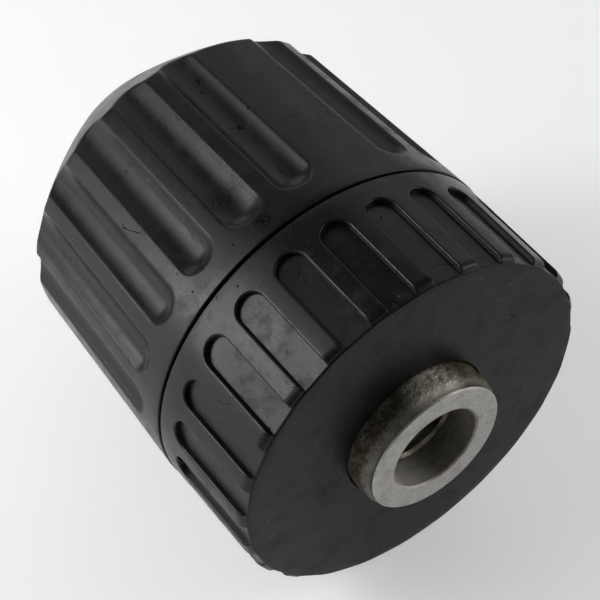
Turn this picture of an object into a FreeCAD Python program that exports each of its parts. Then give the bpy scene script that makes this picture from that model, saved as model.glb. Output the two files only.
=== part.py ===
import FreeCAD, Part

import math
import os

# Keyless double-sleeve drill chuck, 10 mm capacity, for a 3/8-24 spindle.
# The chuck axis is Y. The origin is the centre of the hub's rear seating face: +Y points out of the
# spindle socket, -Y towards the jaws. Every "d" below is a distance ahead of that face, so y = -d.
# Angles about the axis start at +Z and grow towards -X. Lengths are in millimetres.

# Hub and spindle socket
HUB_R = 7.45
HUB_BAND_R = 7.7
HUB_BAND_D = (1.5, 6.4)
HUB_END_D = 8.0
REGISTER_R = 4.81
REGISTER_DEPTH = 3.45
THREAD_RELIEF_R = 5.05
THREAD_START_D = 4.05
THREAD_MAJOR_R = 4.77
THREAD_END_D = 15.5
SCREW_HOLE_R = 3.3
EDGE = 0.15

# Rear sleeve: the part that is held still
REAR_FACE_D = 3.27
SEAM_D = 16.97
REAR_SLEEVE_R = 19.9
REAR_FACE_R = 19.42
REAR_ROLL = 1.0
REAR_WEB = 2.3
REAR_SEAT_R = 17.6
HUB_GAP = 0.18
GROOVES = 24
GROOVE_PHASE = -6.62
GROOVE_WIDTH = 3.06
GROOVE_FLOOR_R = 19.3
GROOVE_END_D = 14.55

# Front sleeve: the part that turns
SEAM_GAP = 0.25
SLEEVE_R = 20.0
RIM_D = 41.47
RIM_R = 18.85
MOUTH_D = 50.27
MOUTH_R = 10.0
CONE_BULGE = 0.2
SLEEVE_EDGE = 0.15
STATIONS = 21
STATIONS_PER_GROUP = 7
STATION_PHASE = 13.52
FLUTE_DEPTH = 0.95
FLUTE_HALF_WIDTH = 2.0
FLUTE_END_D = 19.87
SLEEVE_SHOULDER_R = 15.4
SLEEVE_CONE_WALL = 2.2
SLEEVE_COLLAR_D = 45.9
MOUTH_RECESS_R = 9.45
MOUTH_RECESS_D = 49.0

# Body ahead of the hub
FLANGE_D = (13.0, 16.6)
BUSH_SEAT_R = 16.2
BEARING_SEAT_D = 24.4
BEARING_SEAT_R = 13.65
NECK_R = 11.2
NECK_END_D = 40.0
NOSE_R = 8.62
NOSE_START_D = 43.2
NOSE_D = 50.9
NOSE_EDGE = 0.5
DRILL_BORE_R = 5.3
DRILL_BORE_D = 22.0
DRILL_FLARE = 0.4

# Jaws
JAWS = 3
JAW_ANGLE = math.radians(18.0)
JAW_R = 3.5
JAW_CLEARANCE = 0.06
JAW_PHASE = 0.0
JAW_CROSSING_D = 54.5
JAW_TIP_CLOSED_D = 52.0
JAW_TAIL_CLOSED_D = 25.5
JAW_TAIL_CHAMFER = 1.2
JAW_TIP_CHAMFER_R = 3.6
JAW_REST_OPENING_R = 3.5
JAW_FLAT_R = 0.3
JAW_GAP = 0.06
NUT_PITCH = 2.2
JAW_TEETH = 7
TOOTH_DEPTH = 0.85
TOOTH_MOUTH = 1.5
TOOTH_ROOT = 0.4
TOOTH_START = 3.0

# Thrust bearing and nut
RACE_THICKNESS = 1.0
RACE_R = (13.95, 16.4)
BALLS = 15
BALL_SPACE = 2.0
BALL_R = 0.97
BALL_CIRCLE_R = 15.1
CAGE_THICKNESS = 1.0
CAGE_R = (13.95, 16.3)
CAGE_HOLE_R = 1.06
NUT_LENGTH = 6.0
NUT_R = 15.2
NUT_CLEARANCE = 0.2
NUT_SPLIT = 0.12
NUT_TURNS = 2
NUT_GROOVE_START = 1.0
NUT_GROOVE_CORNERS = (0.0, 0.4, 0.9, 1.4)
BAND_R = 16.7
BAND_LENGTH = 5.5
KEYS = 6
KEY_WIDTH = 2.4
KEY_HEIGHT = 0.7

# Rings
DUST_RING_LENGTH = 0.5
DUST_RING_R = 17.4
BUSH_LENGTH = 4.0
BUSH_R = 17.1
BUSH_CLEARANCE = 0.05
SLEEVE_RUN_CLEARANCE = 0.08
WASHER_THICKNESS = 0.4
SNAP_RING_R = (8.05, 9.3)
SNAP_RING_THICKNESS = 0.8
SNAP_RING_GAP = 2.6

FAR = 60.0
AXIS = FreeCAD.Vector(0, 1, 0)
ORIGIN = FreeCAD.Vector(0, 0, 0)


def point(d, r):
    """A point of a half section: d ahead of the seating face, r from the axis."""
    return FreeCAD.Vector(r, -d, 0)


def revolved(edges):
    """The solid turned by a closed chain of edges."""
    face = Part.Face(Part.Wire(edges))
    return face.revolve(ORIGIN, AXIS, 360)


def turned(*corners):
    """The solid turned by a polygon of (d, r) corners."""
    points = [point(d, r) for d, r in corners]
    return revolved([Part.LineSegment(a, b).toShape() for a, b in zip(points, points[1:] + points[:1])])


def ring(d_start, d_end, r_in, r_out):
    """A plain ring with a square section."""
    return turned((d_start, r_in), (d_end, r_in), (d_end, r_out), (d_start, r_out))


def at_angle(shape, degrees):
    """A copy of a shape that lies along +Z, carried round the axis."""
    copy = shape.copy()
    copy.rotate(ORIGIN, AXIS, -degrees)
    return copy


def around(shape, count, phase=0.0):
    """Copies of a shape at even steps round the axis."""
    return [at_angle(shape, phase + 360.0 * k / count) for k in range(count)]


def jaw_axis_r(d):
    """How far a jaw's own axis is from the chuck axis."""
    return (JAW_CROSSING_D - d) * math.tan(JAW_ANGLE)


def jaw_crest_r(d):
    """How far a jaw's outer side is from the chuck axis."""
    return jaw_axis_r(d) + JAW_R / math.cos(JAW_ANGLE)


def jaw_forward():
    """The way a jaw slides as it closes, for the jaw that lies on the +Z side."""
    return FreeCAD.Vector(0, -math.cos(JAW_ANGLE), -math.sin(JAW_ANGLE))


def jaw_outward():
    """Square to the jaw's axis, away from the chuck axis."""
    return FreeCAD.Vector(0, -math.sin(JAW_ANGLE), math.cos(JAW_ANGLE))


def on_jaw_axis(d):
    return FreeCAD.Vector(0, -d, jaw_axis_r(d))


def jaw_bores():
    """Three slanted bores that run right through the body."""
    start = on_jaw_axis(0.0)
    bore = Part.makeCylinder(JAW_R + JAW_CLEARANCE, 2 * FAR, start, jaw_forward())
    return around(bore, JAWS, JAW_PHASE)


def spindle_socket():
    """Register, relief groove, threaded hole (a plain wall at the major radius) and retaining screw hole."""
    return turned(
        (-1.0, 0), (-1.0, REGISTER_R + EDGE + 1.0), (EDGE, REGISTER_R), (REGISTER_DEPTH, REGISTER_R),
        (REGISTER_DEPTH, THREAD_RELIEF_R), (THREAD_START_D, THREAD_RELIEF_R),
        (THREAD_START_D, THREAD_MAJOR_R), (THREAD_END_D, THREAD_MAJOR_R),
        (THREAD_END_D, SCREW_HOLE_R), (DRILL_BORE_D + 1.0, SCREW_HOLE_R), (DRILL_BORE_D + 1.0, 0),
    )


def drill_bore():
    """The space for the drill's shank, open at the nose."""
    return turned(
        (DRILL_BORE_D, 0), (DRILL_BORE_D, DRILL_BORE_R), (NOSE_D - DRILL_FLARE, DRILL_BORE_R),
        (NOSE_D + 1.0, DRILL_BORE_R + DRILL_FLARE + 1.0), (NOSE_D + 1.0, 0),
    )


def nut_seat_d():
    """Where the nut's rear face is: ahead of two races and the balls."""
    return BEARING_SEAT_D + 2 * RACE_THICKNESS + BALL_SPACE


def body():
    nut_rear = nut_seat_d()
    nut_front = nut_rear + NUT_LENGTH + NUT_CLEARANCE
    groove_d = MOUTH_RECESS_D + WASHER_THICKNESS
    groove = ring(groove_d, groove_d + SNAP_RING_THICKNESS + 0.05, SNAP_RING_R[0], NOSE_R + 1.0)
    blank = turned(
        (0, 0), (0, HUB_R - EDGE), (EDGE, HUB_R), (HUB_BAND_D[0], HUB_R),
        (HUB_BAND_D[0] + 0.2, HUB_BAND_R), (HUB_BAND_D[1], HUB_BAND_R), (HUB_BAND_D[1] + EDGE, HUB_R),
        (HUB_END_D, HUB_R), (HUB_END_D + 1.0, HUB_R + 1.0),
        (FLANGE_D[0] - EDGE, REAR_SEAT_R - 1.0), (FLANGE_D[0] + 1.0, REAR_SEAT_R), (FLANGE_D[1], REAR_SEAT_R),
        (FLANGE_D[1], BUSH_SEAT_R), (BEARING_SEAT_D, BUSH_SEAT_R), (BEARING_SEAT_D, BEARING_SEAT_R),
        (nut_rear, BEARING_SEAT_R), (nut_rear, jaw_crest_r(nut_rear) - TOOTH_DEPTH),
        (nut_front, jaw_crest_r(nut_front) - TOOTH_DEPTH), (nut_front, NECK_R), (NECK_END_D, NECK_R),
        (NOSE_START_D, NOSE_R), (NOSE_D - NOSE_EDGE, NOSE_R), (NOSE_D, NOSE_R - NOSE_EDGE), (NOSE_D, 0),
    )
    return blank.cut([spindle_socket(), drill_bore(), groove] + jaw_bores())


def rear_groove():
    """A straight groove with a round front end, open at the rear face."""
    half = GROOVE_WIDTH / 2
    round_d = GROOVE_END_D - half
    height = 3.0
    straight = Part.makeBox(
        GROOVE_WIDTH, round_d + 1.0, height, FreeCAD.Vector(-half, -round_d, GROOVE_FLOOR_R)
    )
    end = Part.makeCylinder(half, height, FreeCAD.Vector(0, -round_d, GROOVE_FLOOR_R), FreeCAD.Vector(0, 0, 1))
    return straight.fuse(end)


def rear_sleeve():
    hole_r = HUB_BAND_R + HUB_GAP
    shell = turned(
        (REAR_FACE_D, hole_r), (REAR_FACE_D, REAR_FACE_R), (REAR_FACE_D + REAR_ROLL, REAR_SLEEVE_R),
        (SEAM_D - SLEEVE_EDGE, REAR_SLEEVE_R), (SEAM_D, REAR_SLEEVE_R - SLEEVE_EDGE), (SEAM_D, REAR_SEAT_R),
        (REAR_FACE_D + REAR_WEB, REAR_SEAT_R), (REAR_FACE_D + REAR_WEB, hole_r),
    )
    return shell.cut(around(rear_groove(), GROOVES, GROOVE_PHASE))


def sleeve_outer_r(d):
    """The front sleeve's outer radius: straight taper from the seam to the rim."""
    share = (d - SEAM_D) / (RIM_D - SEAM_D)
    return SLEEVE_R + (RIM_R - SLEEVE_R) * share


def flute():
    """A round-bottomed flute with a ball end, open at the rim."""
    radius = (FLUTE_HALF_WIDTH ** 2 + FLUTE_DEPTH ** 2) / (2 * FLUTE_DEPTH)
    lift = radius - FLUTE_DEPTH
    start_d = FLUTE_END_D + FLUTE_HALF_WIDTH
    end_d = RIM_D + 8.0
    start = FreeCAD.Vector(0, -start_d, sleeve_outer_r(start_d) + lift)
    end = FreeCAD.Vector(0, -end_d, sleeve_outer_r(end_d) + lift)
    run = Part.makeCylinder(radius, start.distanceToPoint(end), start, end - start)
    return run.fuse(Part.makeSphere(radius, start))


def flute_angles():
    """Even stations round the sleeve; one in every group is left as a wide land."""
    step = 360.0 / STATIONS
    return [STATION_PHASE + step * k for k in range(STATIONS) if k % STATIONS_PER_GROUP]


def band_start_d():
    return nut_seat_d() + NUT_LENGTH - BAND_LENGTH


def drive_keys(clearance=0.0):
    """Short keys on the nut's band, which drive the front sleeve."""
    width = KEY_WIDTH + 2 * clearance
    depth = KEY_HEIGHT + 1.0 + clearance
    key = Part.makeBox(
        width, BAND_LENGTH, depth,
        FreeCAD.Vector(-width / 2, -band_start_d() - BAND_LENGTH, BAND_R - 1.0),
    )
    return around(key, KEYS, 30.0)


def front_sleeve():
    rear_d = SEAM_D + SEAM_GAP
    band_d = band_start_d()
    shoulder_d = band_d + BAND_LENGTH
    bush_end_d = rear_d + BUSH_LENGTH + 1.0
    bore_r = BUSH_R + BUSH_CLEARANCE
    run_r = NOSE_R + SLEEVE_RUN_CLEARANCE
    wall = SLEEVE_CONE_WALL * math.sqrt(2)
    inner_cone_d = RIM_D + (RIM_R - wall - SLEEVE_SHOULDER_R)
    collar_r = SLEEVE_SHOULDER_R - (SLEEVE_COLLAR_D - inner_cone_d)
    corners = [
        (MOUTH_D, MOUTH_R), (MOUTH_D, MOUTH_RECESS_R), (MOUTH_RECESS_D, MOUTH_RECESS_R),
        (MOUTH_RECESS_D, run_r), (SLEEVE_COLLAR_D, run_r), (SLEEVE_COLLAR_D, collar_r),
        (inner_cone_d, SLEEVE_SHOULDER_R), (shoulder_d, SLEEVE_SHOULDER_R), (shoulder_d, BAND_R),
        (band_d - 0.2, BAND_R), (band_d - 0.6, bore_r - 0.1), (bush_end_d, bore_r - 0.1), (bush_end_d, bore_r),
        (rear_d, bore_r), (rear_d, SLEEVE_R - SLEEVE_EDGE), (rear_d + SLEEVE_EDGE, SLEEVE_R), (RIM_D, RIM_R),
    ]
    points = [point(d, r) for d, r in corners]
    edges = [Part.LineSegment(a, b).toShape() for a, b in zip(points, points[1:])]
    offset = CONE_BULGE / math.sqrt(2)
    middle = point((RIM_D + MOUTH_D) / 2 + offset, (RIM_R + MOUTH_R) / 2 + offset)
    edges.append(Part.Arc(points[-1], middle, points[0]).toShape())
    flutes = [at_angle(flute(), angle) for angle in flute_angles()]
    return revolved(edges).cut(flutes + drive_keys())


def tooth_gap(along):
    """The space between two of a jaw's teeth, on its outer side."""
    crest = JAW_R + 0.1
    root = JAW_R - TOOTH_DEPTH
    tail = on_jaw_axis(JAW_TAIL_CLOSED_D)
    section = [
        (along - TOOTH_MOUTH / 2, crest), (along + TOOTH_MOUTH / 2, crest),
        (along + TOOTH_ROOT / 2, root), (along - TOOTH_ROOT / 2, root),
    ]
    side = FreeCAD.Vector(-JAW_R - 1.0, 0, 0)
    points = [tail + side + jaw_forward() * t + jaw_outward() * out for t, out in section]
    face = Part.Face(Part.makePolygon(points + points[:1]))
    return face.extrude(FreeCAD.Vector(2 * JAW_R + 2.0, 0, 0))


def jaw_blank():
    """A round bar with a chamfered tail, on the jaw's axis."""
    tail = on_jaw_axis(JAW_TAIL_CLOSED_D)
    forward = jaw_forward()
    chamfer = Part.makeCone(JAW_R - JAW_TAIL_CHAMFER, JAW_R, JAW_TAIL_CHAMFER, tail, forward)
    bar = Part.makeCylinder(JAW_R, FAR, tail + forward * JAW_TAIL_CHAMFER, forward)
    return chamfer.fuse(bar).removeSplitter()


def jaw_sector():
    """A third of the round: two flanks at 120 degrees and a narrow gripping flat, up to the tip."""
    slope = math.tan(math.radians(60.0))
    flat = (JAW_FLAT_R - JAW_GAP) * slope
    wide = (FAR - JAW_GAP) * slope
    corners = [(-flat, JAW_FLAT_R), (flat, JAW_FLAT_R), (wide, FAR), (-wide, FAR)]
    points = [FreeCAD.Vector(x, -JAW_TIP_CLOSED_D, z) for x, z in corners]
    face = Part.Face(Part.makePolygon(points + points[:1]))
    return face.extrude(FreeCAD.Vector(0, FAR, 0))


def jaw():
    """One jaw on the +Z side, at rest: drawn closed, then slid back to the rest opening."""
    tip_cone = Part.makeCone(
        JAW_TIP_CHAMFER_R, JAW_TIP_CHAMFER_R + FAR, FAR, FreeCAD.Vector(0, -JAW_TIP_CLOSED_D, 0), AXIS
    )
    pitch = NUT_PITCH / math.cos(JAW_ANGLE)
    gaps = [tooth_gap(TOOTH_START + pitch * k) for k in range(JAW_TEETH)]
    shape = jaw_blank().common(jaw_sector()).common(tip_cone).cut(gaps)
    shape.translate(jaw_forward() * (-JAW_REST_OPENING_R / math.sin(JAW_ANGLE)))
    return shape


def nut():
    """The tapered nut round the jaws, with thread grooves cut outward from its inner cone."""
    rear = nut_seat_d()
    front = rear + NUT_LENGTH

    def inner_r(d):
        return jaw_crest_r(d) + NUT_CLEARANCE

    bore = [(rear, inner_r(rear))]
    for k in range(NUT_TURNS):
        start = rear + NUT_GROOVE_START + NUT_PITCH * k
        edge, root, root_end, end = (start + step for step in NUT_GROOVE_CORNERS)
        root_r = inner_r(start) + TOOTH_DEPTH
        bore += [(edge, inner_r(edge)), (root, root_r), (root_end, root_r), (end, inner_r(end))]
    bore.append((front, inner_r(front)))
    return turned(*bore, (front, NUT_R), (rear, NUT_R))


def nut_half(side):
    """One half of the split nut: side is +1 for the half towards +Z."""
    low = NUT_SPLIT / 2 if side > 0 else -FAR - NUT_SPLIT / 2
    half_space = Part.makeBox(2 * FAR, 2 * FAR, FAR, FreeCAD.Vector(-FAR, -1.5 * FAR, low))
    return nut().common(half_space)


def nut_band():
    start = band_start_d()
    return ring(start, start + BAND_LENGTH, NUT_R, BAND_R).fuse(drive_keys()).cut(
        turned((0, 0), (0, NUT_R), (FAR, NUT_R), (FAR, 0))
    )


def races():
    rear = ring(BEARING_SEAT_D, BEARING_SEAT_D + RACE_THICKNESS, BEARING_SEAT_R, RACE_R[1])
    front_d = BEARING_SEAT_D + RACE_THICKNESS + BALL_SPACE
    front = ring(front_d, front_d + RACE_THICKNESS, *RACE_R)
    return rear, front


def ball_d():
    return BEARING_SEAT_D + RACE_THICKNESS + BALL_SPACE / 2


def ball_cage():
    start = ball_d() - CAGE_THICKNESS / 2
    hole = Part.makeCylinder(
        CAGE_HOLE_R, CAGE_THICKNESS + 2.0, FreeCAD.Vector(0, -start - CAGE_THICKNESS - 1.0, BALL_CIRCLE_R), AXIS
    )
    return ring(start, start + CAGE_THICKNESS, *CAGE_R).cut(around(hole, BALLS))


def bearing_balls():
    ball = Part.makeSphere(BALL_R, FreeCAD.Vector(0, -ball_d(), BALL_CIRCLE_R))
    return Part.makeCompound(around(ball, BALLS))


def dust_ring():
    return ring(FLANGE_D[1], FLANGE_D[1] + DUST_RING_LENGTH, BUSH_SEAT_R, DUST_RING_R)


def rear_bush():
    start = FLANGE_D[1] + DUST_RING_LENGTH
    return ring(start, start + BUSH_LENGTH, BUSH_SEAT_R, BUSH_R)


def front_washer():
    start = MOUTH_RECESS_D + 0.02
    return ring(start, start + WASHER_THICKNESS - 0.04, NOSE_R, SNAP_RING_R[1] - 0.1)


def nose_snap_ring():
    """A split spring ring in the nose's groove."""
    start = MOUTH_RECESS_D + WASHER_THICKNESS + 0.02
    whole = ring(start, start + SNAP_RING_THICKNESS, *SNAP_RING_R)
    gap = Part.makeBox(SNAP_RING_GAP, FAR, FAR, FreeCAD.Vector(-SNAP_RING_GAP / 2, -FAR, 0))
    return whole.cut(at_angle(gap, 60.0))


def main():
    os.makedirs("parts", exist_ok=True)
    rear_race, front_race = races()
    nodes = {
        "body": body(), "rear_sleeve": rear_sleeve(), "front_sleeve": front_sleeve(),
        "front_washer": front_washer(), "nose_snap_ring": nose_snap_ring(),
        "nut_half_a": nut_half(1), "nut_half_b": nut_half(-1), "nut_band": nut_band(),
        "race_rear": rear_race, "race_front": front_race, "ball_cage": ball_cage(),
        "bearing_balls": bearing_balls(), "rear_bush": rear_bush(), "dust_ring": dust_ring(),
    }
    for number, shape in enumerate(around(jaw(), JAWS, JAW_PHASE), 1):
        nodes[f"jaw_{number}"] = shape
    for name, shape in nodes.items():
        shape.exportStep(f"parts/{name}.step")
        print(f"{name}: {len(shape.Solids)} solid(s), {shape.Volume:.0f} mm3, valid {shape.isValid()}")


main()
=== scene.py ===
import math

import bmesh
import bpy
from mathutils import Matrix, Vector, noise


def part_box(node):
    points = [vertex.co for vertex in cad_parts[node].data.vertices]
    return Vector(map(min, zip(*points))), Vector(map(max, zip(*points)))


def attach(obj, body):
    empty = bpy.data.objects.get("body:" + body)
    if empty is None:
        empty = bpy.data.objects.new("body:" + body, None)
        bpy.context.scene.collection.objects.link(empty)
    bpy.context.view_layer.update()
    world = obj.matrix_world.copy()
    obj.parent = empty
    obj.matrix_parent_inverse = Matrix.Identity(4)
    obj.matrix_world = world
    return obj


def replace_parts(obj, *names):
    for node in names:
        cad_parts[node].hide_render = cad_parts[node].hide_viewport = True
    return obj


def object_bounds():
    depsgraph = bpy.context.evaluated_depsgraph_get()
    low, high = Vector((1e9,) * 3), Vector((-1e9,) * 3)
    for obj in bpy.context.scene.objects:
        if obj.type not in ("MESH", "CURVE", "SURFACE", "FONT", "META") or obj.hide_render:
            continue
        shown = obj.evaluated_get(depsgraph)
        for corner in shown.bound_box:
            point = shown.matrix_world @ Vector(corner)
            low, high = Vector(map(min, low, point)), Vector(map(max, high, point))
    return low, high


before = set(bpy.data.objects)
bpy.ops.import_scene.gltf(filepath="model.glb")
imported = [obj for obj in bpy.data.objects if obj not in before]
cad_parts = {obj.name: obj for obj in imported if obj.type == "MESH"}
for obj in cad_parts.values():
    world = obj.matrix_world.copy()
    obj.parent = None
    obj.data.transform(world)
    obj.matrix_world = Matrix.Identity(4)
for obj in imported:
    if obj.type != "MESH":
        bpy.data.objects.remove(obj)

# The chuck lies with its axis along Y: +Y comes out of the spindle socket and -Y goes to the jaws. Mesh
# functions work in millimetres: d is the distance ahead of the hub's seating face (y = -d), r is the
# distance from the axis, and angles start at +Z and grow towards -X.

MM = 0.001
CAD_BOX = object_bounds()
CENTRE = (CAD_BOX[0] + CAD_BOX[1]) / 2


def span(node):
    """A node's first d, last d and outer radius."""
    low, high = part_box(node)
    return -high.y / MM, -low.y / MM, (high.x - low.x) / 2 / MM


REAR_FACE_D, REAR_SEAM_D, REAR_R = span("rear_sleeve")
FRONT_SEAM_D, MOUTH_D, FRONT_R = span("front_sleeve")
BUSH_R = span("rear_bush")[2]
BAND_D = span("nut_band")[1]
WASHER_D = span("front_washer")[0]

# Both sleeves: the rounding of their edges at the seam, and the gap below which a skin's points merge
EDGE_RADIUS = 0.15
MERGE_GAP = 0.002

# Rear sleeve: its face, rim, rolled land ends and hole
REAR_FACE_R = 19.42
RIM_RADIUS = 0.27
REAR_FLAT_R = REAR_FACE_R - RIM_RADIUS
LAND_ROLL_START = 0.22
LAND_ROLL = 0.90
REAR_HOLE_R = 7.88
HOLE_EDGE = 0.15
REAR_SEAT_R = 17.6
REAR_WEB = 2.3

# Its grooves: a wall rises steeply over WALL_RUN to WALL_SHARE of its height, then rounds over WALL_EDGE
GROOVES = 24
GROOVE_PHASE = -6.62
GROOVE_HALF = 1.53
GROOVE_FLOOR_R = 19.30
GROOVE_END_D = 14.55
WALL_RUN = 0.06
WALL_SHARE = 0.62
WALL_EDGE = 0.22

# Front sleeve: rim, cone and the steps inside the mouth
RIM_D = 41.47
RIM_R = 18.85
RIM_ROUNDING = 0.22
MOUTH_R = 10.0
CONE_BULGE = 0.28
MOUTH_LIP_R = 9.45
MOUTH_EDGE = 0.1
RUN_R = 8.7
COLLAR_D = 45.9
COLLAR_R = 11.3
SHOULDER_R = 15.4
SHOULDER_D = 41.8
BUSH_GAP = 0.05

# Its flutes: one station in each group stays plain
STATIONS = 21
GROUP = 7
STATION_PHASE = 13.52
FLUTE_HALF = 2.0
FLUTE_DEPTH = 0.95
FLUTE_CENTRE_D = 21.87
FLUTE_LIP = 0.22

# Oily marks on the front sleeve: angle, d and radius
OIL_MARKS = [(-18.5, 19.0, 1.3), (-21.5, 24.5, 2.6)]

# Hub: a turned ring, then a rough band with one patch worn bright; its skin lies just outside the turned body
HUB_R = 7.45
HUB_EDGE = 0.15
HUB_BAND_R = 7.7
HUB_BAND_D = 1.5
HUB_BAND_RAMP = 1.25
HUB_SKIN_LIFT = 0.03
HUB_SKIN_DEPTH = 0.3
HUB_SKIN_PAST_FACE = 1.6
BAND_ROUGHNESS = 0.07
WORN_PATCH_ANGLE = 3.0

# Socket: register and thread, the angle of the painted glint on the thread's first turn, and the angle of the
# painted reflection on the register's wall
REGISTER_D = 3.47
REGISTER_R = 4.81
THREAD_PITCH = 25.4 / 24
THREAD_CREST_R = 4.27
THREAD_ROOT_R = 4.79
THREAD_D = (4.1, 15.4)
THREAD_RUNOUT_TURNS = 0.6
THREAD_CHAMFER = 0.3
THREAD_GLINT_ANGLE = 168.0
SOCKET_REFLECTION_ANGLE = 214.0

# Camera: its bearing from the chuck (from +Y towards +X), its height angle, its distance from the point that
# it looks at, that point's offset from the chuck's middle, and its focal length
VIEW_BEARING = 35.63
VIEW_HEIGHT_ANGLE = 49.155
VIEW_DISTANCE = 207.1
VIEW_OFFSET = Vector((-2.46, 0.0, -4.18))
LENS = 120.9

# Light: the sky's and the floor's strength, then each soft box's name, direction from the chuck, distance,
# width and height in metres, power in watts, and colour
SKY = 0.08
FLOOR_GLOW = 0.36
COOL = (0.95, 0.96, 1.0)
WARM = (1.0, 0.98, 0.93)
LIGHTS = [
    ("key", (0.79, -0.464, 0.393), 0.21, 0.06, 0.13, 0.21, COOL),
    ("key_upper", (0.60, -0.42, 0.68), 0.45, 0.25, 0.25, 0.31, COOL),
    ("key_broad", (0.77, -0.42, 0.45), 0.46, 0.40, 0.40, 0.44, COOL),
    ("right", (-0.75, 0.45, 0.35), 0.60, 0.40, 0.40, 1.10, WARM),
    ("right_ahead", (-0.75, -0.45, 0.5), 0.60, 0.40, 0.40, 0.33, COOL),
    ("ahead", (-0.2, -0.9, 0.45), 0.60, 0.40, 0.40, 0.42, COOL),
]


def at(degrees, d, r):
    """A point in metres, in the frame."""
    angle = math.radians(degrees)
    return Vector((-math.sin(angle) * r, -d, math.cos(angle) * r)) * MM


def clamp(x):
    return max(0.0, min(1.0, x))


def smooth(x):
    x = clamp(x)
    return x * x * (3 - 2 * x)


def quarter_round(x):
    """The rise of a quarter circle: steep at 0, level from 1 on."""
    return math.sqrt(1 - (1 - clamp(x)) ** 2)


def eased_edge(inside):
    """How far a rounded edge falls away at a distance inside it."""
    return EDGE_RADIUS * (1 - quarter_round(inside / EDGE_RADIUS))


def soft_min(a, b, width):
    """The smaller of two lengths, with the corner between them rounded."""
    h = clamp(0.5 + 0.5 * (b - a) / width)
    return b + (a - b) * h - width * h * (1 - h)


def soft_max(a, b, width):
    return -soft_min(-a, -b, width)


# ---------------------------------------------------------------- mesh tools


def new_piece(name, bm, body, material, sharp=35.0):
    """Turns a bmesh into a smooth-shaded piece that rides on a body."""
    bmesh.ops.recalc_face_normals(bm, faces=bm.faces)
    mesh = bpy.data.meshes.new(name)
    bm.to_mesh(mesh)
    bm.free()
    for face in mesh.polygons:
        face.use_smooth = True
    mesh.set_sharp_from_angle(angle=math.radians(sharp))
    piece = bpy.data.objects.new(name, mesh)
    bpy.context.scene.collection.objects.link(piece)
    piece.data.materials.append(material)
    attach(piece, body)
    return piece


def add_rows(bm, rows, closed=True):
    """Quads between rows of vertices; each row is a ring when closed."""
    for lower, upper in zip(rows, rows[1:]):
        count = len(lower)
        for i in range(count if closed else count - 1):
            j = (i + 1) % count
            bm.faces.new((lower[i], lower[j], upper[j], upper[i]))


def add_ring(bm, angles, d, r):
    return [bm.verts.new(at(angle, d, r)) for angle in angles]


def ray_to_edge(angle, half, length):
    """Where a ray from the groove's round end meets the edge of its cell."""
    x, y = -math.cos(angle), -math.sin(angle)
    reach = min(half / max(abs(x), 1e-9), length / max(abs(y), 1e-9))
    return x * reach, y * reach


# How far each outer ring of a cell has blended from the groove's outline into the cell's edge
CELL_BLENDS = [0.3, 0.6, 1.0]


def cell_rings(half_width, half_cell, closed_length, offsets, blends, sides, arc_steps):
    """One groove's cell as U-shaped rings of (u, v) points that follow its outline.

    u runs across the groove, and v along it from the centre of its round end to its open end. The inner
    rings keep a fixed distance from the outline; the outer ones blend into the cell's straight edges.
    """
    corner = math.atan2(closed_length, half_cell)
    angles = [math.pi * k / arc_steps for k in range(1, arc_steps)]
    for target in (corner, math.pi - corner):
        nearest = min(range(len(angles)), key=lambda k: abs(angles[k] - target))
        angles[nearest] = target

    def ring(radius):
        arc = [(-radius * math.cos(a), -radius * math.sin(a)) for a in angles]
        return [(-radius, v) for v in reversed(sides)] + arc + [(radius, v) for v in sides]

    edge = [(-half_cell, v) for v in reversed(sides)]
    edge += [ray_to_edge(a, half_cell, closed_length) for a in angles]
    edge += [(half_cell, v) for v in sides]
    rings = [ring(half_width + offset) for offset in offsets]
    last = rings[-1]
    for t in blends:
        rings.append([(a[0] + (b[0] - a[0]) * t, a[1] + (b[1] - a[1]) * t) for a, b in zip(last, edge)])
    return rings


def add_cell(bm, rings, place, strip):
    """Adds one cell, then a strip of rows past its closed end; place turns (u, v) into a point."""
    rows = [[bm.verts.new(place(u, v)) for u, v in ring] for ring in rings]
    add_rows(bm, rows, closed=False)
    end = min(v for _, v in rings[-1])
    last = [k for k, (_, v) in enumerate(rings[-1]) if v < end + 1e-6]
    extra = [[bm.verts.new(place(rings[-1][k][0], v)) for k in last] for v in strip]
    add_rows(bm, [[rows[-1][k] for k in last]] + extra, closed=False)


def outline_distance(u, v, half_width):
    """How far a point lies outside a groove's outline; negative inside."""
    return (abs(u) if v >= 0 else math.hypot(u, v)) - half_width


def loop_at(bm, test):
    """The boundary edges whose two ends both pass a test on (d, r)."""

    def passes(vertex):
        return test(-vertex.co.y / MM, math.hypot(vertex.co.x, vertex.co.z) / MM)

    return [edge for edge in bm.edges if edge.is_boundary and all(map(passes, edge.verts))]


def merge(bm):
    """Joins points that lie on top of each other."""
    bmesh.ops.remove_doubles(bm, verts=bm.verts, dist=MERGE_GAP * MM)


def close_sleeve(bm, columns, profile, seam_d):
    """Adds a sleeve's inside, as rings along a profile of (d, r), and closes the skin at the seam."""
    merge(bm)
    add_rows(bm, [add_ring(bm, columns, d, r) for d, r in profile])
    merge(bm)
    middle_r = (REAR_SEAT_R + REAR_R) / 2
    outer = loop_at(bm, lambda d, r: abs(d - seam_d) < 0.02 and r > middle_r)
    inner = loop_at(bm, lambda d, r: abs(d - seam_d) < 0.02 and r < middle_r)
    bmesh.ops.bridge_loops(bm, edges=outer + inner)


def rounded_steps(edge):
    """Places for the rows of a rounded edge, closer together towards the edge."""
    return [edge - EDGE_RADIUS * (1 - math.sin(math.pi / 2 * k / 5)) for k in range(1, 6)]


def spread(start, end, steps):
    """Even steps from a start, which is left out, to an end."""
    return [start + (end - start) * k / steps for k in range(1, steps + 1)]


def open_columns(rings, cells, phase, reference):
    """The angles of a skin's columns at its open end."""
    across = sorted({round(ring[0][0], 6) for ring in rings} | {round(ring[-1][0], 6) for ring in rings})
    step = 360.0 / cells
    return [phase + step * k + math.degrees(u / reference) for k in range(cells) for u in across[:-1]]


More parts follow.
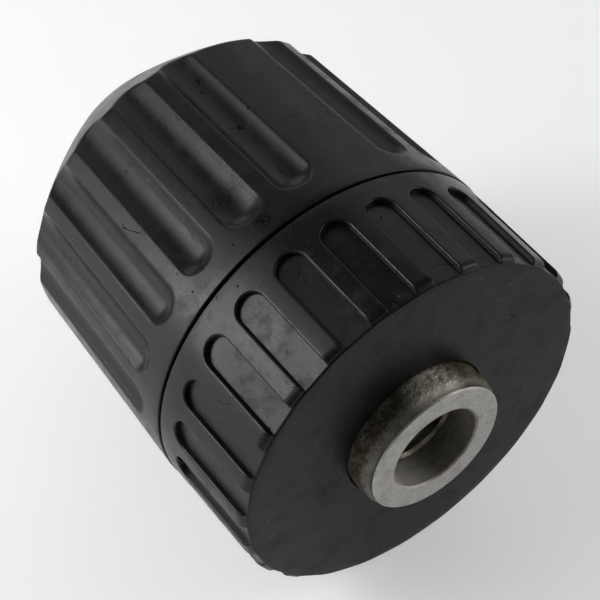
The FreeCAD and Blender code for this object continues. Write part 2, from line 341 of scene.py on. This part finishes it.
# ---------------------------------------------------------------- rear sleeve


def rear_land_r(d):
    """The land's radius: rolled down to the rim near the rear face, and eased at the seam."""
    roll = quarter_round((d - REAR_FACE_D - LAND_ROLL_START) / LAND_ROLL)
    return REAR_FACE_R + (REAR_R - REAR_FACE_R) * roll - eased_edge(REAR_SEAM_D - d)


def rear_r(u, v, d):
    """The rear sleeve's outer radius: land, groove wall and floor, rounded over at the rear face."""
    land = rear_land_r(d)
    floor = min(land, GROOVE_FLOOR_R / math.cos(u / REAR_R))
    side = floor + (land - floor) * wall_share(outline_distance(u, v, GROOVE_HALF))
    return REAR_FLAT_R + (side - REAR_FLAT_R) * quarter_round((d - REAR_FACE_D) / RIM_RADIUS)


def wall_share(outside):
    """A groove's wall from floor (0) to land (1): a steep face, then a rounded top edge."""
    if outside <= WALL_RUN:
        return WALL_SHARE * clamp(outside / WALL_RUN)
    return WALL_SHARE + (1 - WALL_SHARE) * quarter_round((outside - WALL_RUN) / WALL_EDGE)


def rear_sleeve(material):
    centre_d = GROOVE_END_D - GROOVE_HALF
    half_cell = math.pi * REAR_R / GROOVES
    length = centre_d - REAR_FACE_D
    roll_end = length - LAND_ROLL_START - LAND_ROLL
    # Rows along the groove, closer together where the land rolls down and where the rim rounds over
    sides = [0.0] + spread(0.0, roll_end - 0.1, 9) + spread(roll_end - 0.1, length - RIM_RADIUS, 16)
    sides += [length - RIM_RADIUS * (1 - math.sin(math.pi / 2 * k / 6)) for k in range(1, 7)]
    # Rings across the groove: its floor, its wall, the wall's rounded edge, then the land
    offsets = [-GROOVE_HALF, -1.1, -0.7, -0.3, -0.05, 0.0, WALL_RUN / 2, WALL_RUN]
    offsets += [WALL_RUN + WALL_EDGE * (1 - math.cos(math.pi / 2 * k / 6)) for k in range(1, 7)]
    offsets += [WALL_RUN + WALL_EDGE + 0.08]
    to_seam = REAR_SEAM_D - centre_d
    rings = cell_rings(GROOVE_HALF, half_cell, to_seam - EDGE_RADIUS, offsets, CELL_BLENDS, sides, 24)
    strip = [-v for v in rounded_steps(to_seam)]
    bm = bmesh.new()
    for k in range(GROOVES):
        angle = GROOVE_PHASE + 360.0 * k / GROOVES

        def place(u, v):
            d = centre_d - v
            return at(angle + math.degrees(u / REAR_R), d, rear_r(u, v, d))

        add_cell(bm, rings, place, strip)
    inner_d = REAR_FACE_D + REAR_WEB
    profile = [(REAR_FACE_D, REAR_FLAT_R)]
    profile += [(REAR_FACE_D, r) for r in spread(REAR_FLAT_R, REAR_HOLE_R + HOLE_EDGE, 12)]
    profile += [(REAR_FACE_D + HOLE_EDGE, REAR_HOLE_R), (inner_d, REAR_HOLE_R), (inner_d, REAR_SEAT_R)]
    profile += [(REAR_SEAM_D, REAR_SEAT_R)]
    close_sleeve(bm, open_columns(rings, GROOVES, GROOVE_PHASE, REAR_R), profile, REAR_SEAM_D)
    piece = new_piece("rear_sleeve_skin", bm, "chuck", material)
    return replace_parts(piece, "rear_sleeve")


# ---------------------------------------------------------------- front sleeve


def taper_r(d):
    return FRONT_R + (RIM_R - FRONT_R) * (d - FRONT_SEAM_D) / (RIM_D - FRONT_SEAM_D)


def cone_r(d):
    """The cone ahead of the rim, bowed out a little; behind the rim its line runs on outwards."""
    share = (d - RIM_D) / (MOUTH_D - RIM_D)
    bow = CONE_BULGE * 4 * clamp(share) * (1 - clamp(share))
    return RIM_R + (MOUTH_R - RIM_R) * share + bow


def flute_depth(u, v):
    """How deep a flute is: a round bottom with eased lips."""
    radius = (FLUTE_HALF ** 2 + FLUTE_DEPTH ** 2) / (2 * FLUTE_DEPTH)
    across = outline_distance(u, v, 0.0)
    depth = math.sqrt(max(radius ** 2 - across ** 2, 0.0)) - (radius - FLUTE_DEPTH)
    return soft_max(depth, 0.0, FLUTE_LIP)


def front_r(u, v, d, fluted):
    depth = flute_depth(u, v) if fluted else 0.0
    return soft_min(taper_r(d) - depth, cone_r(d), RIM_ROUNDING) - eased_edge(d - FRONT_SEAM_D)


def front_sleeve(material):
    reference = (FRONT_R + RIM_R) / 2
    half_cell = math.pi * reference / STATIONS
    to_rim = RIM_D - FLUTE_CENTRE_D
    to_mouth = MOUTH_D - FLUTE_CENTRE_D
    before_rim = to_rim - 0.5
    past_rim = to_rim + 1.6
    # Rows along the flute, close together where it runs out at the rim
    sides = [0.0, 0.6] + spread(1.5, before_rim, 20) + spread(before_rim, past_rim, 30)
    sides += spread(past_rim, to_mouth, 14)
    # Rings across the flute, closest together at its lips
    offsets = [-FLUTE_HALF, -1.7, -1.4, -1.1, -0.85, -0.6, -0.4, -0.25, -0.12, 0.0, 0.12, 0.25]
    to_seam = FLUTE_CENTRE_D - FRONT_SEAM_D
    rings = cell_rings(FLUTE_HALF, half_cell, to_seam - EDGE_RADIUS, offsets, CELL_BLENDS, sides, 28)
    strip = [-v for v in rounded_steps(to_seam)]
    bm = bmesh.new()
    for k in range(STATIONS):
        angle = STATION_PHASE + 360.0 * k / STATIONS
        fluted = k % GROUP != 0

        def place(u, v):
            d = FLUTE_CENTRE_D + v
            return at(angle + math.degrees(u / reference), d, front_r(u, v, d, fluted))

        add_cell(bm, rings, place, strip)
    profile = [(MOUTH_D, front_r(0.0, to_mouth, MOUTH_D, False)), (MOUTH_D, MOUTH_LIP_R + MOUTH_EDGE)]
    profile += [(MOUTH_D - MOUTH_EDGE, MOUTH_LIP_R), (WASHER_D, MOUTH_LIP_R), (WASHER_D, RUN_R)]
    profile += [(COLLAR_D, RUN_R), (COLLAR_D, COLLAR_R), (SHOULDER_D, SHOULDER_R), (BAND_D, SHOULDER_R)]
    profile += [(BAND_D, BUSH_R + BUSH_GAP), (FRONT_SEAM_D, BUSH_R + BUSH_GAP)]
    close_sleeve(bm, open_columns(rings, STATIONS, STATION_PHASE, reference), profile, FRONT_SEAM_D)
    piece = new_piece("front_sleeve_skin", bm, "turning_sleeve", material)
    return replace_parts(piece, "front_sleeve")


# ---------------------------------------------------------------- hub details


def hub_skin_r(angle, d):
    """The hub's radius at a place: turned smooth at the rear, then stepping up to a lumpy, pitted band."""
    where = at(angle, d, HUB_BAND_R) / MM
    band_start = HUB_BAND_D - HUB_BAND_RAMP + 0.12 * noise.noise(where * 0.8)
    rough = smooth((d - band_start) / 1.3)
    lump = noise.fractal(where * 1.5, 0.7, 2.1, 5)
    pit = min(noise.noise(where * 4.5) + 0.1, 0.0)
    return HUB_R + HUB_SKIN_LIFT + rough * (HUB_BAND_R - HUB_R + BAND_ROUGHNESS * (1 + lump + pit))


def hub_skin(material):
    """The hub's outside as a thin closed skin."""
    steps_round, steps_along = 480, 72
    angles = [360.0 * k / steps_round for k in range(steps_round)]
    end_d = REAR_FACE_D + HUB_SKIN_PAST_FACE
    inner_r = HUB_R - HUB_SKIN_DEPTH
    bm = bmesh.new()
    rows = [add_ring(bm, angles, HUB_EDGE + 0.1, inner_r)]
    for d in [HUB_EDGE] + spread(HUB_EDGE, end_d, steps_along):
        rows.append([bm.verts.new(at(angle, d, hub_skin_r(angle, d))) for angle in angles])
    rows.append(add_ring(bm, angles, end_d, inner_r))
    add_rows(bm, rows + rows[:1])
    return new_piece("hub_skin", bm, "chuck", material, sharp=60.0)


def spindle_thread(material):
    """The helical ridge of the spindle thread, run out at both ends."""
    steps_per_turn = 72
    start_d, end_d = THREAD_D
    turns = (end_d - start_d) / THREAD_PITCH - 1.0
    steps = int(turns * steps_per_turn)
    half_root = THREAD_PITCH * 0.47
    half_crest = THREAD_PITCH * 0.07
    bm = bmesh.new()
    rows = []
    for k in range(steps + 1):
        angle = 360.0 * k / steps_per_turn
        middle = start_d + THREAD_PITCH * (0.5 + k / steps_per_turn)
        runout = smooth(min(k, steps - k) / (THREAD_RUNOUT_TURNS * steps_per_turn))
        crest = THREAD_ROOT_R - (THREAD_ROOT_R - THREAD_CREST_R) * (0.04 + 0.96 * runout)
        section = [(-half_root, THREAD_ROOT_R), (-half_crest, crest), (half_crest, crest),
                   (half_root, THREAD_ROOT_R), (0.0, THREAD_ROOT_R + 0.05)]
        rows.append([bm.verts.new(at(angle, middle + s, r)) for s, r in section])
    add_rows(bm, rows)
    bm.faces.new(rows[0])
    bm.faces.new(rows[-1])
    return new_piece("spindle_thread", bm, "chuck", material, sharp=25.0)


def thread_start(material):
    """The chamfered first turn of the thread, at the end of the register."""
    crest_d = REGISTER_D + THREAD_CHAMFER
    buried_r = REGISTER_R + 0.2
    section = [(REGISTER_D, buried_r), (REGISTER_D, THREAD_CREST_R + THREAD_CHAMFER)]
    section += [(crest_d, THREAD_CREST_R), (crest_d + 0.15, THREAD_CREST_R), (crest_d + 0.45, buried_r)]
    bm = bmesh.new()
    angles = [360.0 * k / 180 for k in range(180)]
    rows = [add_ring(bm, angles, d, r) for d, r in section]
    add_rows(bm, rows + rows[:1])
    return new_piece("thread_start", bm, "chuck", material, sharp=25.0)


# ---------------------------------------------------------------- materials


class Nodes:
    """Short calls for building a material's node tree."""

    def __init__(self, name):
        self.material = bpy.data.materials.new(name)
        self.material.use_nodes = True
        self.tree = self.material.node_tree
        self.shader = self.tree.nodes["Principled BSDF"]
        self.place = self.add("ShaderNodeTexCoord").outputs["Object"]

    def add(self, kind, inputs=None, **settings):
        node = self.tree.nodes.new(kind)
        for key, value in settings.items():
            setattr(node, key, value)
        for key, value in (inputs or {}).items():
            self.feed(node.inputs[key], value)
        return node

    def feed(self, socket, value):
        if isinstance(value, bpy.types.NodeSocket):
            self.tree.links.new(value, socket)
        else:
            socket.default_value = value

    def scaled(self, x, y, z):
        """Coordinates stretched by a factor along each axis."""
        return self.add("ShaderNodeMapping", {"Vector": self.place, "Scale": (x, y, z)}).outputs[0]

    def noise(self, scale_mm, detail=2.0, roughness=0.5, vector=None, distortion=0.0):
        """Noise whose features are about scale_mm across, from 0 to 1."""
        inputs = {"Vector": vector or self.place, "Scale": 1.0 / (scale_mm * MM), "Detail": detail,
                  "Roughness": roughness, "Distortion": distortion}
        return self.add("ShaderNodeTexNoise", inputs).outputs["Fac"]

    def specks(self, cell_mm, vector=None):
        """Distance to scattered points, one in each cell of cell_mm."""
        inputs = {"Vector": vector or self.place, "Scale": 1.0 / (cell_mm * MM)}
        return self.add("ShaderNodeTexVoronoi", inputs).outputs["Distance"]

    def ramp(self, value, low, high, out_low=0.0, out_high=1.0):
        """A clamped, smooth step from low to high."""
        inputs = {"Value": value, "From Min": low, "From Max": high, "To Min": out_low, "To Max": out_high}
        node = self.add("ShaderNodeMapRange", inputs, interpolation_type="SMOOTHSTEP")
        return node.outputs["Result"]

    def math(self, operation, a, b=0.0):
        node = self.add("ShaderNodeMath", operation=operation)
        self.feed(node.inputs[0], a)
        self.feed(node.inputs[1], b)
        return node.outputs[0]

    def blend(self, share, a, b):
        """Colour a where share is 0 and colour b where it is 1."""
        node = self.add("ShaderNodeMix", data_type="RGBA")
        self.feed(node.inputs["Factor"], share)
        self.feed(node.inputs[6], a)
        self.feed(node.inputs[7], b)
        return node.outputs[2]

    def bump(self, height, depth_mm, normal=None):
        inputs = {"Height": height, "Distance": depth_mm * MM, "Strength": 1.0}
        if normal is not None:
            inputs["Normal"] = normal
        return self.add("ShaderNodeBump", inputs).outputs[0]

    def ahead(self):
        """d: the distance ahead of the hub's seating face, in millimetres."""
        y = self.add("ShaderNodeSeparateXYZ", {0: self.place}).outputs["Y"]
        return self.math("MULTIPLY", y, -1.0 / MM)

    def axis_distance(self):
        """Distance from the chuck's axis, in metres."""
        flat = self.scaled(1.0, 0.0, 1.0)
        return self.add("ShaderNodeVectorMath", {0: flat}, operation="LENGTH").outputs["Value"]

    def finish(self, **inputs):
        for key, value in inputs.items():
            self.feed(self.shader.inputs[key.replace("_", " ")], value)
        return self.material


def rgb(r, g, b):
    return (r, g, b, 1.0)


def spot(nodes, degrees, d, r, radius_mm):
    """1 at a place on the chuck, falling to 0 at a radius."""
    gap = nodes.add("ShaderNodeVectorMath", {0: nodes.place, 1: at(degrees, d, r)}, operation="DISTANCE")
    return nodes.ramp(gap.outputs["Value"], radius_mm * MM, 0.3 * radius_mm * MM)


def black_nylon():
    """Moulded black nylon: fine grain, scuffs, scattered pits and dust, and a few oily marks."""
    n = Nodes("black_nylon")
    cloud = n.noise(8.0, 3.0, 0.6)
    rub = n.noise(2.4, 5.0, 0.68, distortion=0.15)
    mottle = n.noise(0.27, 4.0, 0.75)
    grain = n.noise(0.16, 2.0, 0.6)
    long_scratch = n.noise(0.25, 3.0, 0.7, n.scaled(1.0, 0.06, 1.0))
    cross_scratch = n.noise(0.22, 2.0, 0.7, n.scaled(0.3, 1.0, 0.5))
    dust = n.math("MULTIPLY", n.ramp(n.specks(1.7), 0.075, 0.045), n.ramp(n.noise(6.0, 2.0), 0.48, 0.60))
    pits = n.math("MULTIPLY", n.ramp(n.specks(2.9, n.scaled(1.3, 1.0, 1.1)), 0.070, 0.045),
                  n.ramp(n.noise(5.0, 2.0, vector=n.scaled(1.0, 1.4, 1.0)), 0.44, 0.56))
    line = n.math("ABSOLUTE", n.math("SUBTRACT", n.noise(5.0, 1.0, 0.4), 0.5))
    scratch = n.math("MULTIPLY", n.ramp(line, 0.0032, 0.0012), n.ramp(n.noise(2.6, 2.0), 0.53, 0.58))
    oil_and_sheen = [spot(n, degrees, d, FRONT_R, radius) for degrees, d, radius in OIL_MARKS]
    oil = n.math("MULTIPLY", n.math("MAXIMUM", *oil_and_sheen), n.ramp(mottle, 0.42, 0.54))
    base = n.blend(n.ramp(cloud, 0.35, 0.7), rgb(0.0050, 0.0050, 0.0054), rgb(0.0085, 0.0084, 0.0090))
    base = n.blend(n.ramp(rub, 0.52, 0.78, 0.0, 0.45), base, rgb(0.022, 0.022, 0.025))
    base = n.blend(n.ramp(mottle, 0.50, 0.72, 0.0, 0.32), base, rgb(0.020, 0.020, 0.021))
    base = n.blend(n.math("MULTIPLY", dust, 0.6), base, rgb(0.16, 0.155, 0.145))
    marks = n.math("MAXIMUM", n.math("MAXIMUM", pits, scratch), oil)
    base = n.blend(marks, base, rgb(0.0015, 0.0015, 0.0015))
    rough = n.ramp(cloud, 0.3, 0.75, 0.27, 0.36)
    rough = n.math("ADD", rough, n.ramp(rub, 0.46, 0.72, 0.0, 0.17))
    rough = n.math("ADD", rough, n.ramp(mottle, 0.40, 0.70, -0.015, 0.045))
    rough = n.math("ADD", rough, n.ramp(long_scratch, 0.62, 0.75, 0.0, 0.08))
    height = n.math("MULTIPLY", grain, 0.6)
    height = n.math("ADD", height, n.ramp(long_scratch, 0.66, 0.74, 0.0, -0.5))
    height = n.math("ADD", height, n.ramp(cross_scratch, 0.70, 0.76, 0.0, -0.5))
    height = n.math("ADD", height, n.math("MULTIPLY", n.math("MAXIMUM", pits, scratch), -0.8))
    normal = n.bump(height, 0.011)
    normal = n.bump(mottle, 0.004, normal)
    normal = n.bump(n.noise(3.5, 2.0), 0.03, normal)
    rear_face = n.ramp(n.ahead(), REAR_FACE_D + 0.25, REAR_FACE_D + 0.02)
    rough = n.math("ADD", rough, n.math("MULTIPLY", rear_face, 0.06))
    dull = n.math("MAXIMUM", marks, n.math("MULTIPLY", rear_face, 0.6))
    level = n.math("SUBTRACT", 0.27, n.math("MULTIPLY", dull, 0.2))
    return n.finish(Base_Color=base, Roughness=rough, Normal=normal, Specular_IOR_Level=level)


def turned_steel():
    """Machined steel with turning marks round the axis, dull and oily inside the socket, with a painted
    reflection: a pale spot on the socket's lower wall.
    """
    n = Nodes("turned_steel")
    from_axis = n.axis_distance()
    turned = n.math("ADD", from_axis, n.math("MULTIPLY", n.ahead(), -0.9 * MM))
    marks = n.add("ShaderNodeTexNoise", {"Scale": 7000.0, "Detail": 3.0, "Roughness": 0.7, "W": turned},
                  noise_dimensions="1D").outputs["Fac"]
    stain = n.noise(1.8, 4.0, 0.6, distortion=0.5)
    speckle = n.noise(0.30, 4.0, 0.7)
    base = n.blend(n.ramp(stain, 0.45, 0.8), rgb(0.42, 0.41, 0.395), rgb(0.32, 0.31, 0.29))
    base = n.blend(n.ramp(marks, 0.35, 0.70, 0.0, 0.4), base, rgb(0.20, 0.195, 0.185))
    base = n.blend(n.ramp(speckle, 0.50, 0.70, 0.0, 0.55), base, rgb(0.15, 0.14, 0.12))
    socket = n.ramp(from_axis, (REGISTER_R + 0.30) * MM, (REGISTER_R + 0.20) * MM)
    oil_and_sheen = n.blend(n.ramp(stain, 0.35, 0.65), rgb(0.26, 0.24, 0.215), rgb(0.14, 0.128, 0.11))
    # Painted reflection: a pale spot on the socket's lower wall, mixed into the oily colour
    painted_reflection = spot(n, SOCKET_REFLECTION_ANGLE, 1.6, REGISTER_R, 4.0)
    painted_reflection = n.math("MULTIPLY", painted_reflection, n.ramp(stain, 0.30, 0.60, 1.0, 0.6))
    oil_and_sheen = n.blend(painted_reflection, oil_and_sheen, rgb(0.62, 0.60, 0.56))
    base = n.blend(n.math("MULTIPLY", socket, 0.85), base, oil_and_sheen)
    rough = n.math("ADD", n.ramp(stain, 0.3, 0.8, 0.36, 0.52), n.ramp(speckle, 0.4, 0.7, 0.0, 0.08))
    metal = n.math("SUBTRACT", 0.95, n.math("MULTIPLY", socket, 0.65))
    normal = n.bump(marks, 0.014)
    normal = n.bump(n.noise(0.12, 2.0), 0.007, normal)
    return n.finish(Base_Color=base, Roughness=rough, Normal=normal, Metallic=metal)


def stained_steel():
    """The hub's outside: dull steel under an oily film, worn clean in one patch."""
    n = Nodes("stained_steel")
    film = n.noise(1.1, 6.0, 0.7, distortion=0.6)
    tone = n.noise(2.2, 3.0, 0.55, distortion=0.4)
    pits = n.noise(0.30, 5.0, 0.7)
    dirt = n.ramp(n.noise(0.16, 3.0, 0.7), 0.50, 0.66)
    wander = n.math("ADD", n.ahead(), n.ramp(film, 0.3, 0.7, -0.5, 0.5))
    on_band = n.ramp(wander, HUB_BAND_D - 1.0, HUB_BAND_D + 0.3)
    olive = n.blend(n.ramp(tone, 0.42, 0.6), rgb(0.075, 0.064, 0.028), rgb(0.17, 0.155, 0.115))
    olive = n.blend(n.ramp(film, 0.46, 0.62), olive, rgb(0.13, 0.115, 0.078))
    ring = n.blend(n.ramp(tone, 0.40, 0.68), rgb(0.20, 0.19, 0.16), rgb(0.13, 0.12, 0.09))
    colour = n.blend(on_band, ring, olive)
    patch = spot(n, WORN_PATCH_ANGLE, 1.3, HUB_BAND_R, 3.8)
    patch = n.math("MULTIPLY", patch, n.ramp(film, 0.34, 0.50, 0.35, 1.0))
    colour = n.blend(patch, colour, rgb(0.72, 0.70, 0.60))
    dirt = n.math("MULTIPLY", dirt, n.math("ADD", on_band, 0.2))
    colour = n.blend(n.math("MULTIPLY", dirt, 0.7), colour, rgb(0.035, 0.030, 0.018))
    metal = n.ramp(film, 0.40, 0.7, 0.35, 0.60)
    rough = n.math("ADD", n.ramp(pits, 0.3, 0.75, 0.40, 0.54), n.math("MULTIPLY", on_band, 0.08))
    normal = n.bump(n.math("MULTIPLY", pits, n.math("ADD", on_band, 0.15)), 0.06)
    return n.finish(Base_Color=colour, Roughness=rough, Normal=normal, Metallic=metal)


def thread_steel():
    """Dark, oily thread steel, with a painted glint: a bright spot on the first turn near the bottom of the
    socket.
    """
    n = Nodes("thread_steel")
    film = n.noise(0.9, 4.0, 0.65, distortion=0.5)
    base = n.blend(n.ramp(film, 0.4, 0.7), rgb(0.10, 0.09, 0.07), rgb(0.05, 0.045, 0.034))
    # Painted glint: a bright spot where the thread's first turn catches the light
    painted_glint = spot(n, THREAD_GLINT_ANGLE, REGISTER_D, THREAD_CREST_R, 2.6)
    painted_glint = n.math("MULTIPLY", painted_glint, n.ramp(film, 0.35, 0.6, 1.0, 0.5))
    base = n.blend(painted_glint, base, rgb(0.66, 0.62, 0.50))
    rough = n.ramp(film, 0.3, 0.7, 0.30, 0.45)
    metal = n.math("ADD", n.math("MULTIPLY", painted_glint, 0.3), 0.6)
    return n.finish(Base_Color=base, Roughness=rough, Normal=n.bump(n.noise(0.2, 3.0), 0.02), Metallic=metal)


def machined(name, light, dark, rough_low, rough_high):
    """Plain machined steel for the smaller parts."""
    n = Nodes(name)
    stain = n.noise(2.0, 4.0, 0.6, distortion=0.4)
    brushed = n.noise(0.3, 3.0, 0.7, n.scaled(1.0, 0.08, 1.0))
    base = n.blend(n.ramp(stain, 0.4, 0.75), light, dark)
    rough = n.ramp(brushed, 0.3, 0.75, rough_low, rough_high)
    return n.finish(Base_Color=base, Roughness=rough, Normal=n.bump(brushed, 0.006), Metallic=1.0)


def white_nylon():
    """Natural nylon for the bush and the ball cage."""
    n = Nodes("bush_nylon")
    cloud = n.noise(3.0, 3.0)
    base = n.blend(n.ramp(cloud, 0.4, 0.7), rgb(0.72, 0.70, 0.64), rgb(0.60, 0.57, 0.50))
    rough = n.ramp(cloud, 0.3, 0.7, 0.42, 0.55)
    return n.finish(Base_Color=base, Roughness=rough, Normal=n.bump(n.noise(0.2, 2.0), 0.01))


def grey_felt():
    """Oiled felt for the dust ring."""
    n = Nodes("dust_felt")
    fibre = n.noise(0.15, 4.0, 0.7, distortion=1.5)
    base = n.blend(n.ramp(fibre, 0.35, 0.7), rgb(0.10, 0.095, 0.085), rgb(0.20, 0.19, 0.17))
    rough = n.ramp(fibre, 0.3, 0.7, 0.85, 0.95)
    return n.finish(Base_Color=base, Roughness=rough, Normal=n.bump(fibre, 0.08))


def give(material, *names):
    """Assigns a material to CAD nodes that stay on show."""
    for name in names:
        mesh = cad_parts[name].data
        mesh.materials.clear()
        mesh.materials.append(material)


def finish_cad_nodes():
    """Materials for the nodes that are shown as they were packed."""
    hardened = machined("hardened_steel", rgb(0.40, 0.40, 0.405), rgb(0.26, 0.255, 0.25), 0.28, 0.42)
    bright = machined("bright_steel", rgb(0.56, 0.555, 0.54), rgb(0.42, 0.41, 0.39), 0.25, 0.38)
    spring = machined("spring_steel", rgb(0.16, 0.155, 0.15), rgb(0.09, 0.088, 0.085), 0.30, 0.45)
    give(turned_steel(), "body")
    give(hardened, "jaw_1", "jaw_2", "jaw_3", "race_rear", "race_front", "bearing_balls")
    give(bright, "nut_half_a", "nut_half_b", "nut_band", "front_washer")
    give(spring, "nose_snap_ring")
    give(white_nylon(), "ball_cage", "rear_bush")
    give(grey_felt(), "dust_ring")


# ---------------------------------------------------------------- floor, light and camera


def floor():
    """A pale, faintly glowing plane that the chuck rests on."""
    bm = bmesh.new()
    bmesh.ops.create_grid(bm, x_segments=2, y_segments=2, size=3.0)
    mesh = bpy.data.meshes.new("floor")
    bm.to_mesh(mesh)
    bm.free()
    plane = bpy.data.objects.new("floor", mesh)
    plane.location = (0.0, 0.0, CAD_BOX[0].z)
    bpy.context.scene.collection.objects.link(plane)
    n = Nodes("pale_floor")
    tone = n.noise(40.0, 4.0)
    base = n.blend(n.ramp(tone, 0.3, 0.7), rgb(0.91, 0.91, 0.91), rgb(0.89, 0.89, 0.885))
    plane.data.materials.append(n.finish(
        Base_Color=base, Roughness=n.ramp(tone, 0.3, 0.7, 0.85, 0.95), Specular_IOR_Level=0.1,
        Emission_Color=rgb(1.0, 1.0, 1.0), Emission_Strength=FLOOR_GLOW,
    ))


def soft_light(name, direction, distance, width, height, power, colour):
    """A soft box that faces the chuck."""
    data = bpy.data.lights.new(name, "AREA")
    data.color = colour
    data.shape = "RECTANGLE"
    data.size = width
    data.size_y = height
    data.energy = power
    lamp = bpy.data.objects.new(name, data)
    away = Vector(direction).normalized()
    lamp.location = CENTRE + away * distance
    lamp.rotation_mode = "QUATERNION"
    lamp.rotation_quaternion = away.to_track_quat("Z", "Y")
    bpy.context.scene.collection.objects.link(lamp)


def studio():
    """A dim white sky and the soft boxes."""
    scene = bpy.context.scene
    scene.view_settings.view_transform = "Standard"
    world = bpy.data.worlds.new("studio")
    world.use_nodes = True
    sky = world.node_tree.nodes["Background"]
    sky.inputs["Color"].default_value = rgb(1.0, 1.0, 1.0)
    sky.inputs["Strength"].default_value = SKY
    scene.world = world
    for light in LIGHTS:
        soft_light(*light)


def camera():
    bearing = math.radians(VIEW_BEARING)
    height_angle = math.radians(VIEW_HEIGHT_ANGLE)
    right = Vector((-math.cos(bearing), math.sin(bearing), 0.0))
    level = Vector((math.sin(bearing), math.cos(bearing), 0.0))
    back = level * math.cos(height_angle) + Vector((0.0, 0.0, math.sin(height_angle)))
    up = back.cross(right)
    data = bpy.data.cameras.new("camera")
    data.lens = LENS
    data.clip_start = 0.01
    cam = bpy.data.objects.new("camera", data)
    place = CENTRE + (VIEW_OFFSET + back * VIEW_DISTANCE) * MM
    cam.matrix_world = Matrix.Translation(place) @ Matrix((right, up, back)).transposed().to_4x4()
    bpy.context.scene.collection.objects.link(cam)
    bpy.context.scene.camera = cam


camera()
nylon = black_nylon()
rear_sleeve(nylon)
front_sleeve(nylon)
hub_skin(stained_steel())
# Oily thread steel with a painted glint
oil_and_sheen = thread_steel()
spindle_thread(oil_and_sheen)
thread_start(oil_and_sheen)
finish_cad_nodes()
floor()
studio()
